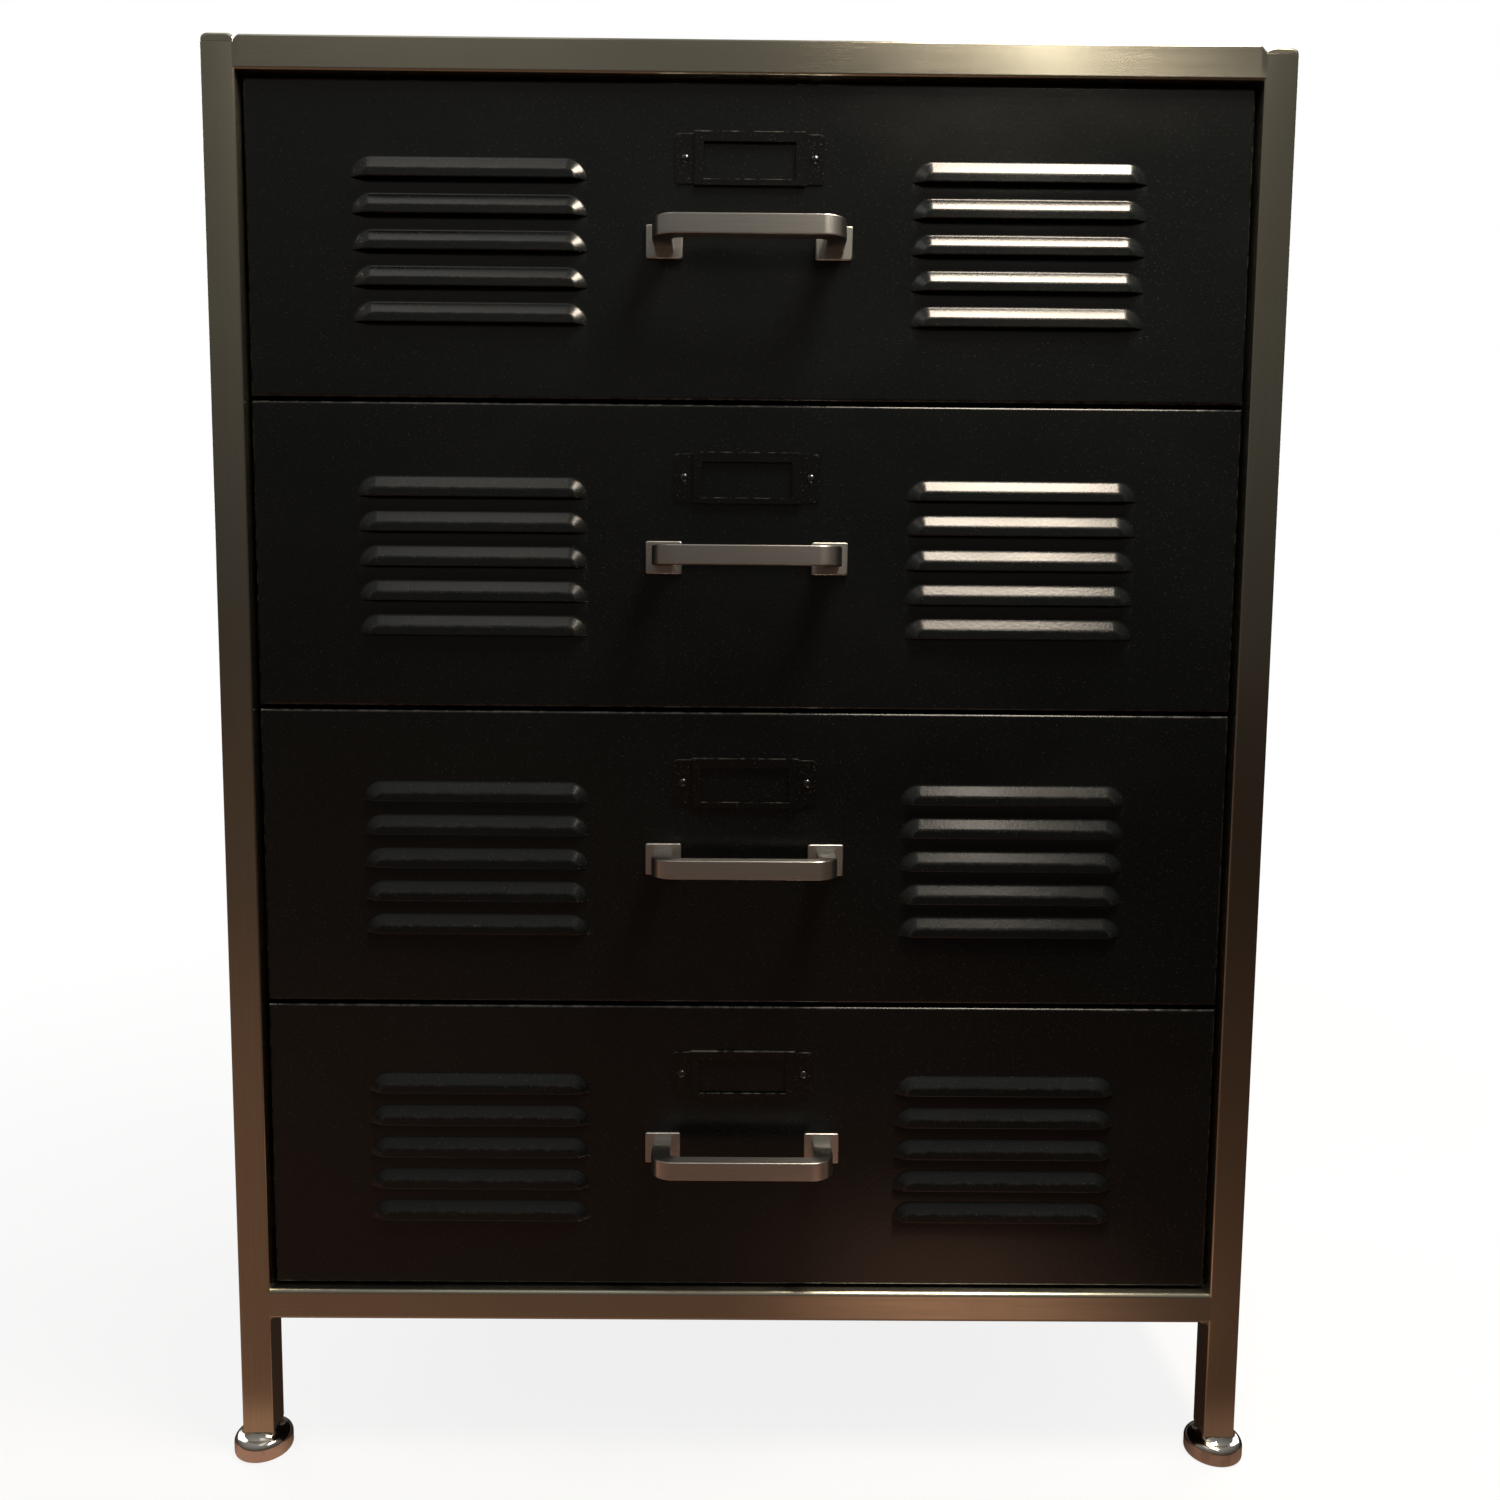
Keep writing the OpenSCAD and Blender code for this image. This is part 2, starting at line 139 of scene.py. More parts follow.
# Label holders
LABEL_FRAME_W = 83.0
LABEL_RISE = 3.2
LABEL_EAR = 1.2
LABEL_EAR_DROP = 1.3
LABEL_EAR_R = 3.0
LABEL_LIP = 4.5
LABEL_BEVEL = 0.7
WINDOW_W = 69.0
WINDOW_H = 27.0
RIVET_HEAD_R = 3.2

# Slides and screws
SLIDE_WALL = 1.2
SLIDE_FIT = 0.3
SLIDE_T = 12.7
SLIDE_BEND_R = 2.2
OUTER_LIP_GAP = 2.5
MIDDLE_LIP_GAP = 1.8
SUPPORT_HALF_H = 12.0
SCREW_HEAD_R = 4.0
SCREW_HEAD_H = 2.2
CROSS_HALF_W = 0.42
CROSS_REACH = 2.1
CROSS_DEPTH = 1.1

# How far the paint is scuffed at an edge. At the label holders' edges and the fronts' folds it is also how
# strong a painted highlight is. Both come in patches, which are larger above 1.
LABEL_EDGE_HIGHLIGHT = 1.7
LOUVRE_BEND_WEAR = 0.35
LOUVRE_SLIT_WEAR = 0.7
FRONT_EDGE_WEAR_AND_HIGHLIGHT = 1.0
FRONT_SIDE_WEAR = 0.3
FRONT_BACK_WEAR = 0.4

POST_LOW, POST_HIGH = box("post_front_left")
FACE_Y = box("drawer_front_1")[1].y - FRONT_DEPTH
LOUVRE_STRAIGHT = LOUVRE_W / 2 - LOUVRE_H
LOUVRE_SLITS = [(k - (LOUVRE_COUNT - 1) / 2) * LOUVRE_PITCH - LOUVRE_H / 2 for k in range(LOUVRE_COUNT)]


# ---------------------------------------------------------------- shapes


def middle(points):
    """The mean of some points."""
    return sum(points, Vector()) / len(points)


def flat_map(points):
    """Grain coordinates for a flat face: its two longest directions among X, Y and Z."""
    extent = [max(p[k] for p in points) - min(p[k] for p in points) for k in range(3)]
    a, b = sorted(sorted(range(3), key=lambda k: -extent[k])[:2])
    return [(p[a], p[b]) for p in points]


class Skin:
    """The points and faces of one piece, in millimetres.

    Each face has grain coordinates, real lengths along (u) and across (v) the brushing.
    wear_and_highlight says how scuffed the paint is at a point, and on some edges how strong a painted
    highlight is: 0 for none, 1 for full.
    """

    def __init__(self):
        self.points = []
        self.faces = []
        self.grain = []
        self.wear_and_highlight = {}

    def face(self, corners, grain=None):
        self.faces.append(tuple(corners))
        self.grain.append(grain or flat_map([self.points[k] for k in corners]))

    def band(self, before, after):
        """Joins two closed loops of points that are already there."""
        for k in range(len(before)):
            k_after = (k + 1) % len(before)
            self.face((before[k], after[k], after[k_after], before[k_after]))

    def loft(self, rings):
        """Joins closed rings that have the same number of points, and closes both ends."""
        start = len(self.points)
        size = len(rings[0])
        for ring in rings:
            self.points.extend(Vector(p) for p in ring)
        u = 0.0
        for n, (ring, after) in enumerate(zip(rings, rings[1:])):
            low = start + n * size
            u_after = u + (middle(after) - middle(ring)).length
            v = 0.0
            for k in range(size):
                k_after = (k + 1) % size
                v_after = v + (ring[k_after] - ring[k]).length
                self.face(
                    (low + k, low + k_after, low + size + k_after, low + size + k),
                    [(u, v), (u, v_after), (u_after, v_after), (u_after, v)],
                )
                v = v_after
            u = u_after
        last = start + (len(rings) - 1) * size
        self.face(range(start, start + size))
        self.face(range(last, last + size))


def rounded(half_a, half_b, r, steps=5):
    """The outline of a rounded rectangle about (0, 0), anticlockwise."""
    outline = []
    for turn, (sa, sb) in enumerate(((1, 1), (-1, 1), (-1, -1), (1, -1))):
        for k in range(steps + 1):
            t = math.radians(90 * (turn + k / steps))
            a = sa * (half_a - r) + r * math.cos(t)
            b = sb * (half_b - r) + r * math.sin(t)
            outline.append((a, b))
    return outline


def circle(r, count):
    """The outline of a circle about (0, 0), anticlockwise."""
    turns = [2 * math.pi * k / count for k in range(count)]
    return [(r * math.cos(t), r * math.sin(t)) for t in turns]


def spread(low, high, step):
    """Even steps from low up to, and not including, high."""
    count = max(1, round((high - low) / step))
    return [low + (high - low) * k / count for k in range(count)]


def finished(node, skin, bevel=0.0, sheet=0.0, name=None, crease=35, finish=None):
    """Makes a piece on a CAD node's body, and stands it in for that node unless it has its own name.

    Crease is the angle in degrees above which an edge stays sharp.
    """
    mesh = bpy.data.meshes.new(name or f"{node}_finished")
    mesh.from_pydata([p * MM for p in skin.points], [], skin.faces)
    layer = mesh.uv_layers.new(name="grain")
    layer.data.foreach_set("uv", [c * MM for grain in skin.grain for uv in grain for c in uv])
    # How scuffed each point's paint is, and how strong a painted highlight is there.
    wear_and_highlight = mesh.attributes.new("wear_and_highlight", "FLOAT", "POINT")
    wear_and_highlight.data.foreach_set("value", [skin.wear_and_highlight.get(k, 0.0) for k in range(len(skin.points))])
    bm = bmesh.new()
    bm.from_mesh(mesh)
    bmesh.ops.remove_doubles(bm, verts=bm.verts, dist=1e-6)
    if not sheet:
        bmesh.ops.recalc_face_normals(bm, faces=bm.faces)
    bm.to_mesh(mesh)
    bm.free()
    mesh.shade_smooth()
    if not bevel:
        mesh.set_sharp_from_angle(angle=math.radians(crease))
    piece = bpy.data.objects.new(mesh.name, mesh)
    bpy.context.scene.collection.objects.link(piece)
    if sheet:
        thick = piece.modifiers.new("sheet", "SOLIDIFY")
        thick.thickness = sheet * MM
        thick.offset = -1
        thick.use_even_offset = True
    if bevel:
        round_off = piece.modifiers.new("edges", "BEVEL")
        round_off.width = bevel * MM
        round_off.segments = 2
        round_off.limit_method = "ANGLE"
        round_off.angle_limit = math.radians(crease)
    shade = piece.modifiers.new("normals", "WEIGHTED_NORMAL")
    shade.keep_sharp = True
    mesh.materials.append(FINISHES[finish or SLOT_OF[node]])
    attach(piece, BODY_OF[node])
    if name is None:
        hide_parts(node)


# ---------------------------------------------------------------- materials


class Nodes:
    """A node tree, with the kinds of node that the finishes and the studio share."""

    def __init__(self, tree):
        self.tree = tree
        tree.nodes.clear()

    def add(self, kind, **settings):
        node = self.tree.nodes.new(kind)
        for key, value in settings.items():
            setattr(node, key, value)
        return node

    def join(self, source, target):
        self.tree.links.new(source, target)

    def ranged(self, value, to_low, to_high, from_low=0.0, from_high=1.0, **settings):
        node = self.add("ShaderNodeMapRange", **settings)
        self.join(value, node.inputs["Value"])
        limits = (from_low, from_high, to_low, to_high)
        for key, limit in zip(("From Min", "From Max", "To Min", "To Max"), limits):
            node.inputs[key].default_value = limit
        return node.outputs[0]

    def maths(self, operation, first, second):
        node = self.add("ShaderNodeMath", operation=operation)
        for socket, value in zip(node.inputs, (first, second)):
            if isinstance(value, float):
                socket.default_value = value
            else:
                self.join(value, socket)
        return node.outputs[0]

    def distance(self, place, point):
        """How far a place is from a point."""
        node = self.add("ShaderNodeVectorMath", operation="DISTANCE")
        node.inputs[1].default_value = point
        self.join(place, node.inputs[0])
        return node.outputs["Value"]

    def ramped(self, value, stops):
        """The colour at a value, between (value, colour) stops."""
        node = self.add("ShaderNodeValToRGB")
        elements = node.color_ramp.elements
        while len(elements) < len(stops):
            elements.new(0.5)
        for element, (at, colour) in zip(elements, stops):
            element.position = at
            element.color = (*colour, 1)
        self.join(value, node.inputs[0])
        return node.outputs["Color"]

    def mixed_shaders(self, amount, first, second):
        node = self.add("ShaderNodeMixShader")
        for socket, source in zip(node.inputs, (amount, first, second)):
            self.join(source, socket)
        return node.outputs[0]

    def seen_or_lit(self, seen, lit, output):
        """Shows one shader to the camera and another to reflections and light."""
        direct = self.add("ShaderNodeLightPath").outputs["Is Camera Ray"]
        self.join(self.mixed_shaders(direct, lit, seen), output)


class Finish(Nodes):
    """A material of the chest: a Principled shader and what drives it."""

    def __init__(self, name, base, metallic, roughness, anisotropic=0.0):
        self.material = bpy.data.materials.new(name)
        self.material.use_nodes = True
        super().__init__(self.material.node_tree)
        self.shader = self.add("ShaderNodeBsdfPrincipled")
        self.shader.inputs["Base Color"].default_value = (*base, 1)
        self.shader.inputs["Metallic"].default_value = metallic
        self.shader.inputs["Roughness"].default_value = roughness
        self.shader.inputs["Anisotropic"].default_value = anisotropic
        self.join(self.shader.outputs[0], self.add("ShaderNodeOutputMaterial").inputs[0])
        self.place = self.add("ShaderNodeTexCoord").outputs["Object"]

    def grain(self, turn):
        """The grain map. It also draws the highlights out across the brushing."""
        tangent = self.add("ShaderNodeTangent", direction_type="UV_MAP", uv_map="grain")
        self.join(tangent.outputs[0], self.shader.inputs["Tangent"])
        self.shader.inputs["Anisotropic Rotation"].default_value = turn
        return self.add("ShaderNodeUVMap", uv_map="grain").outputs["UV"]

    def stretched(self, where, scale):
        node = self.add("ShaderNodeMapping")
        node.inputs["Scale"].default_value = scale
        self.join(where, node.inputs["Vector"])
        return node.outputs[0]

    def noise(self, where, scale, detail=2.0, low=0.3, high=0.7):
        """Noise from 0 to 1. What is below low becomes 0, and above high 1."""
        node = self.add("ShaderNodeTexNoise")
        node.inputs["Scale"].default_value = scale
        node.inputs["Detail"].default_value = detail
        self.join(where, node.inputs["Vector"])
        return self.ranged(node.outputs["Fac"], 0.0, 1.0, low, high)

    def mixed(self, amount, first, second):
        """Between two colours, each an (r, g, b) or another node's output."""
        node = self.add("ShaderNodeMix", data_type="RGBA")
        self.join(amount, node.inputs["Factor"])
        for key, colour in (("A", first), ("B", second)):
            socket = next(s for s in node.inputs if s.name == key and s.type == "RGBA")
            if isinstance(colour, tuple):
                socket.default_value = (*colour, 1)
            else:
                self.join(colour, socket)
        return next(s for s in node.outputs if s.type == "RGBA")

    def bumped(self, height, distance, strength, before=None):
        node = self.add("ShaderNodeBump")
        node.inputs["Distance"].default_value = distance
        node.inputs["Strength"].default_value = strength
        self.join(height, node.inputs["Height"])
        if before:
            self.join(before, node.inputs["Normal"])
        return node.outputs[0]

    def set(self, colour=None, roughness=None, normal=None):
        for key, value in (("Base Color", colour), ("Roughness", roughness), ("Normal", normal)):
            if value:
                self.join(value, self.shader.inputs[key])


def brushed(name, dull, bright, stained, roughness, anisotropic):
    """Metal brushed along the grain map's u, with longer scratches and faint stains."""
    f = Finish(name, bright, 1.0, roughness, anisotropic)
    grain = f.grain(0.25)
    fine = f.noise(f.stretched(grain, (25, 1600, 1)), 1.0, 3.0)
    broad = f.noise(f.stretched(grain, (5, 420, 1)), 1.0, 2.0)
    both = f.maths("ADD", f.maths("MULTIPLY", fine, 0.55), f.maths("MULTIPLY", broad, 0.45))
    stains = f.noise(f.place, 9.0, 4.0, 0.5, 0.78)
    metal = f.mixed(both, dull, bright)
    colour = f.mixed(f.maths("MULTIPLY", stains, 0.35), metal, stained)
    satin = f.ranged(both, roughness + 0.03, roughness - 0.03)
    rough = f.maths("ADD", satin, f.maths("MULTIPLY", stains, 0.05))
    bump = f.bumped(both, 0.00003, 0.25)
    dents = f.noise(f.place, 22.0, 1.0)
    f.set(colour, rough, f.bumped(dents, 0.0003, 0.06, bump))
    return f.material


def painted(name, deep, worn_and_highlight, roughness, shine=0.5):
    """Satin paint on steel: orange peel, smudges, and dust, scuffed edges and painted edge highlights in a
    lighter colour.
    """
    f = Finish(name, deep, 0.0, roughness)
    f.shader.inputs["Specular IOR Level"].default_value = shine
    skin = f.noise(f.place, 420.0, 1.0)
    waves = f.noise(f.place, 60.0, 1.0)
    smudge = f.noise(f.stretched(f.place, (7, 7, 11)), 1.0, 4.0, 0.42, 0.75)
    specks = f.noise(f.place, 900.0, 0.0, 0.74, 0.8)
    wear_and_highlight = f.add("ShaderNodeAttribute", attribute_name="wear_and_highlight").outputs["Fac"]
    # Scuffs and painted highlights, in patches along the edges that carry them.
    rubbed_and_highlit = f.maths("MULTIPLY", wear_and_highlight, f.noise(f.place, 130.0, 4.0, 0.42, 0.62))
    colour = f.mixed(f.maths("MULTIPLY", smudge, 0.25), deep, tuple(c * 1.9 for c in deep))
    colour = f.mixed(f.maths("MULTIPLY", specks, 0.5), colour, worn_and_highlight)
    colour = f.mixed(f.maths("MULTIPLY", rubbed_and_highlit, 0.6), colour, worn_and_highlight)
    satin = f.ranged(smudge, roughness - 0.03, roughness + 0.07)
    rough = f.maths("ADD", satin, f.maths("MULTIPLY", rubbed_and_highlit, 0.08))
    bump = f.bumped(skin, 0.00004, 0.5)
    f.set(colour, rough, f.bumped(waves, 0.0002, 0.08, bump))
    return f.material


def polished(name, bright, tarnish, roughness):
    """Bright plating with fine rubbing marks and a little tarnish."""
    f = Finish(name, bright, 1.0, roughness)
    tarnished = f.noise(f.place, 70.0, 4.0, 0.5, 0.8)
    marks = f.noise(f.stretched(f.place, (400, 400, 3000)), 1.0, 2.0)
    f.set(
        f.mixed(tarnished, bright, tarnish),
        f.maths("ADD", f.ranged(marks, roughness, roughness + 0.05), f.maths("MULTIPLY", tarnished, 0.12)),
        f.bumped(marks, 0.00002, 0.3),
    )
    return f.material


def zinc(name, dull, bright, roughness):
    """Zinc plating: a cloudy spangle over rolled steel."""
    f = Finish(name, bright, 1.0, roughness)
    spangle = f.add("ShaderNodeTexVoronoi")
    spangle.inputs["Scale"].default_value = 160.0
    f.join(f.place, spangle.inputs["Vector"])
    cells = f.ranged(spangle.outputs["Distance"], 0.0, 1.0, 0.0, 0.6)
    cloud = f.noise(f.place, 30.0, 3.0)
    tone = f.maths("MULTIPLY", cells, cloud)
    f.set(
        f.mixed(tone, bright, dull),
        f.ranged(tone, roughness - 0.05, roughness + 0.12),
        f.bumped(cloud, 0.0001, 0.2),
    )
    return f.material


FINISHES = {
    "frame_steel": brushed(
        "frame_steel", (0.44, 0.425, 0.345), (0.51, 0.495, 0.40), (0.34, 0.30, 0.235), 0.24, 0.75
    ),
    "handle_nickel": brushed(
        "handle_nickel", (0.47, 0.47, 0.45), (0.63, 0.625, 0.605), (0.37, 0.35, 0.32), 0.31, 0.6
    ),
    "polished_feet": polished("polished_feet", (0.63, 0.60, 0.56), (0.36, 0.31, 0.26), 0.08),
    "zinc_steel": zinc("zinc_steel", (0.42, 0.43, 0.45), (0.58, 0.58, 0.59), 0.34),
    "support_steel": painted("support_steel", (0.10, 0.10, 0.105), (0.2, 0.19, 0.18), 0.5),
    "panel_paint": painted("panel_paint", (0.004, 0.0042, 0.0043), (0.05, 0.047, 0.043), 0.27),
    # Its lighter colour paints scuffs and dust, and also the painted highlights along the fronts' folds.
    "black_paint": painted("black_paint", (0.0041, 0.0055, 0.0056), (0.08, 0.076, 0.07), 0.22),
    "tray_paint": painted("tray_paint", (0.013, 0.013, 0.014), (0.05, 0.047, 0.043), 0.42),
    # Its lighter colour paints dust specks, and is bright enough to paint highlight lines along the label
    # holders' edges.
    "label_paint": painted("label_paint", (0.0034, 0.0038, 0.0038), (0.17, 0.164, 0.153), 0.19),
    "rivet_paint": painted("rivet_paint", (0.0034, 0.0038, 0.0038), (0.12, 0.114, 0.105), 0.2, 1.0),
}


# ---------------------------------------------------------------- frame


def post(node):
    """A square tube with rounded corners, from its foot to its cap."""
    low, high = box(node)
    centre = (low + high) / 2
    half = (high.x - low.x) / 2
    skin = Skin()
    outline = rounded(half, half, TUBE_R)
    rings = []
    for z in (low.z, low.z + 1, high.z - 0.6, high.z):
        inset = TUBE_END_INSET if z in (low.z, high.z) else 0.0
        shrink = (half - inset) / half
        rings.append([Vector((centre.x + a * shrink, centre.y + b * shrink, z)) for a, b in outline])
    skin.loft(rings)
    finished(node, skin)


def rail(node, r, end_drop):
    """A tube that runs into the posts' rounded corners. Its top is ground down by end_drop there."""
    low, high = box(node)
    across = (high.x - low.x) > (high.y - low.y)
    axis = 0 if across else 1
    half = (high.z - low.z) / 2
    centre = (low + high) / 2
    half_len = (high[axis] - low[axis]) / 2
    stations = [(-half_len - beyond, share) for beyond, share in RAIL_ENDS]
    stations += [(half_len + beyond, share) for beyond, share in reversed(RAIL_ENDS)]
    rings = []
    for at, share in stations:
        ring = []
        for a, b in rounded(half, half, r):
            lowered = share * end_drop * max(0.0, b / half)
            place = Vector((at, a, b - lowered)) if across else Vector((a, at, b - lowered))
            ring.append(centre + place)
        rings.append(ring)
    skin = Skin()
    skin.loft(rings)
    finished(node, skin)


def post_places():
    """The four posts' middles, as seen from above."""
    for node in ("post_front_left", "post_front_right", "post_back_left", "post_back_right"):
        low, high = box(node)
        yield (low + high) / 2


def cap_outline(half, arch, side_h, rise):
    """A cap's head from the front: upright sides under an arch, from the middle of its base."""
    outline = [(half, 0.0)]
    for k in range(11):
        t = math.radians(9 * k)
        outline.append((half - arch * (1 - math.cos(t)), side_h + rise * math.sin(t) ** 0.85))
    return outline + [(-a, b) for a, b in reversed(outline)]


def caps():
    """Caps with an arched top, one on each post."""
    low_z, high_z = POST_HIGH.z, box("post_caps")[1].z
    half = (POST_HIGH.x - POST_LOW.x) / 2
    stations = []
    for k in range(5, -1, -1):
        t = math.radians(18 * k)
        stations.append((half - CAP_EDGE_R * (1 - math.sin(t)), CAP_EDGE_R * (1 - math.cos(t))))
    skin = Skin()
    for centre in post_places():
        side = 1 if centre.x > 0 else -1
        rise = high_z - low_z - CAP_SIDE[side] - CAP_DROP[side]
        rings = []
        for way in SIDES:
            for back, inset in (stations if way < 0 else stations[::-1]):
                outline = cap_outline(half - inset, CAP_ARCH[side], CAP_SIDE[side], rise - inset)
                rings.append([Vector((centre.x + a, centre.y + way * back, low_z + b)) for a, b in outline])
        skin.loft(rings)
    finished("post_caps", skin, crease=50)


def feet():
    """Turned feet: an upright side with rounded edges, and a shoulder that rises to the post."""
    foot_r = (POST_LOW.x + POST_HIGH.x) / 2 - box("foot_glides")[0].x
    post_half = (POST_HIGH.x - POST_LOW.x) / 2
    foot_h = POST_LOW.z
    rim_z = foot_h / 2
    profile = [(foot_r - 1.6 * FOOT_BASE_R, 0.0)]
    for k in range(7):
        t = math.radians(15 * k)
        profile.append((foot_r - FOOT_BASE_R * (1 - math.sin(t)), FOOT_BASE_R * (1 - math.cos(t))))
    for k in range(11):
        t = math.radians(7.2 * k)
        profile.append((foot_r - FOOT_RIM_R * (1 - math.cos(t)), rim_z + FOOT_RIM_R * math.sin(t)))
    rim_out, rim_top = profile[-1]
    for k in range(1, 11):
        t = k / 10
        out = rim_out + (post_half + FOOT_POST_GAP - rim_out) * t
        profile.append((out, rim_top + (foot_h - rim_top) * (0.3 * t + 0.7 * t**2.4)))
    skin = Skin()
    for centre in post_places():
        skin.loft([
            [Vector((centre.x + a, centre.y + b, z)) for a, b in circle(out, 64)]
            for out, z in profile
        ])
    finished("foot_glides", skin, crease=40)


def pan(node, place, half_a, half_b, depth, wall, fold, hem=0.0):
    """A shallow tray of folded sheet. place(a, b, h) puts a point h behind the skin.

    Its rim is turned back inside by hem, if that isn't 0.
    """
    steps = 4
    outer = [
        (fold * (1 - math.sin(t)), fold * (1 - math.cos(t)))
        for t in (math.radians(90 * k / steps) for k in range(steps + 1))
    ]
    inner_fold = max(fold - wall, 0.3)
    inner = [
        (wall + inner_fold * (1 - math.cos(t)), wall + inner_fold * (1 - math.sin(t)))
        for t in (math.radians(90 * k / steps) for k in range(steps + 1))
    ]
    rim = wall / 2
    path = outer + [(0.0, depth - rim), (0.3 * rim, depth - 0.3 * rim), (rim, depth)]
    if hem:
        path += [(1.4 * wall, depth), (2 * wall, depth - rim)]
        path += [(2 * wall, depth - hem), (wall, depth - hem - 0.4)]
    else:
        path += [(wall - 0.05, depth - 0.4 * rim), (wall, depth - rim)]
    path += inner
    skin = Skin()
    rings = []
    for inset, h in path:
        corner = max(0.6, PAN_CORNER_R - inset)
        rings.append([place(a, b, h) for a, b in rounded(half_a - inset, half_b - inset, corner, 3)])
    skin.loft(rings)
    finished(node, skin, crease=50)


def panels():
    """The top, bottom, back and side sheets."""
    for node in ("top_panel", "bottom_panel"):
        low, high = box(node)
        centre = (low + high) / 2
        pan(
            node, lambda a, b, h, c=centre, top=high.z: Vector((c.x + a, c.y + b, top - h)),
            (high.x - low.x) / 2, (high.y - low.y) / 2, high.z - low.z, SHEET, PANEL_FOLD_R,
        )
    low, high = box("back_panel")
    centre = (low + high) / 2
    pan(
        "back_panel", lambda a, b, h: Vector((centre.x + a, low.y + h, centre.z + b)),
        (high.x - low.x) / 2, (high.z - low.z) / 2, high.y - low.y, SHEET, PANEL_FOLD_R,
    )
    for side, node in zip(SIDES, ("side_panel_left", "side_panel_right")):
        low, high = box(node)
        centre = (low + high) / 2
        skin_x = high.x if side > 0 else low.x
        pan(
            node, lambda a, b, h, c=centre, x=skin_x, s=side: Vector((x - s * h, c.y + a, c.z + b)),
            (high.y - low.y) / 2, (high.z - low.z) / 2, high.x - low.x, SHEET, PANEL_FOLD_R,
        )


def pan_head(skin, base, out, side_a, side_b):
    """A domed screw head with a cross recess, standing on base and facing out."""
    count = 48
    rings = []
    for k in range(14):
        share = max(0.02, 1 - k / 13)
        r = SCREW_HEAD_R * min(1.0, share * 1.06)
        dome = SCREW_HEAD_H * (0.42 + 0.58 * math.sqrt(max(0.0, 1 - share ** 2.4)))
        if k == 0:
            dome = 0.0
        ring = []
        for a, b in circle(r, count):
            in_cross = min(abs(a), abs(b)) < CROSS_HALF_W and max(abs(a), abs(b)) < CROSS_REACH
            h = dome - (CROSS_DEPTH if in_cross and k > 1 else 0.0)
            ring.append(base + side_a * a + side_b * b + out * h)
        rings.append(ring)
    skin.loft(rings)


def panel_screws():
    """Six screws through the back panel's sides."""
    low, high = box("panel_screws")
    back = box("back_panel")
    skin = Skin()
    for side in SIDES:
        for k in range(3):
            z = low.z + SCREW_HEAD_R + k * (high.z - low.z - 2 * SCREW_HEAD_R) / 2
            edge = back[1].x if side > 0 else back[0].x
            base = Vector((edge - side * SHEET, (low.y + high.y) / 2, z))
            pan_head(skin, base, Vector((-side, 0, 0)), Vector((0, 1, 0)), Vector((0, 0, 1)))
    finished("panel_screws", skin)


def welds():
    """Small ground fillets under the front and back bottom rails, where they meet the legs."""
    skin = Skin()
    for node, sizes in (("bottom_rail_front", FRONT_WELDS), ("bottom_rail_back", BACK_WELDS)):
        low, high = box(node)
        half = (high.y - low.y) / 2 - TUBE_R * 0.6
        mid = (low.y + high.y) / 2
        for side, size in zip(SIDES, sizes):
            x = low.x if side < 0 else high.x
            rings = []
            ends = ((-half, 0.7), (-half + WELD_END, 1.0), (half - WELD_END, 1.0), (half, 0.7))
            for across, share in ends:
                y = mid + across
                reach = size * share
                ring = [Vector((x + side, y, low.z + 1)), Vector((x - side * reach, y, low.z + 1))]
                for k in range(7):
                    t = math.radians(15 * k)
                    a, b = reach * (1 - math.sin(t)), reach * (1 - math.cos(t))
                    ring.append(Vector((x - side * a, y, low.z - b)))
                ring.append(Vector((x + side, y, low.z - reach)))
                rings.append(ring)
            skin.loft(rings)
    finished("bottom_rail_front", skin, name="frame_welds", crease=50)


def bars(node):
    """The steel bars that the slides are screwed to."""
    low, high = box(node)
    skin = Skin()
    for i in DRAWERS:
        slide_low, slide_high = box(f"slide_outer_{i}")
        z = (slide_low.z + slide_high.z) / 2
        x = (low.x + high.x) / 2
        outline = rounded((high.x - low.x) / 2, SUPPORT_HALF_H, 1.5, 4)
        skin.loft([[Vector((x + a, y, z + b)) for a, b in outline] for y in (low.y, high.y)])
    finished(node, skin)


def channel(web_at, lip_at, half_h, wall):
    """The section of a C channel whose web's back is at web_at and whose lips end at lip_at."""
    way = 1 if lip_at > web_at else -1
    bend, steps = SLIDE_BEND_R, 4
    outer, inner = [], []
    for sz in (-1, 1):
        arc_out, arc_in = [], []
        for k in range(steps + 1):
            t = math.radians(90 * k / steps)
            arc_out.append((
                web_at + way * bend * (1 - math.sin(t)),
                sz * (half_h - bend + bend * math.cos(t)),
            ))
            arc_in.append((
                web_at + way * (bend - (bend - wall) * math.sin(t)),
                sz * (half_h - bend + (bend - wall) * math.cos(t)),
            ))
        lip = [(lip_at, sz * half_h), (lip_at, sz * (half_h - wall))]
        if sz < 0:
            outer += [lip[0]] + arc_out
            inner += [lip[1]] + arc_in
        else:
            outer += list(reversed(arc_out)) + [lip[0]]
            inner += list(reversed(arc_in)) + [lip[1]]
    return outer + list(reversed(inner))


def slide_members(node, web, lip, half_h):
    """Both sides' members of one kind. web and lip are distances from the chest's side."""
    low, high = box(node)
    side_x = box("slide_outer_1")[1].x
    z = (low.z + high.z) / 2
    skin = Skin()
    for side in SIDES:
        section = channel(web, lip, half_h, SLIDE_WALL)
        skin.loft([[Vector((side * (side_x - d), y, z + up)) for d, up in section] for y in (low.y, high.y)])
    finished(node, skin, crease=30)


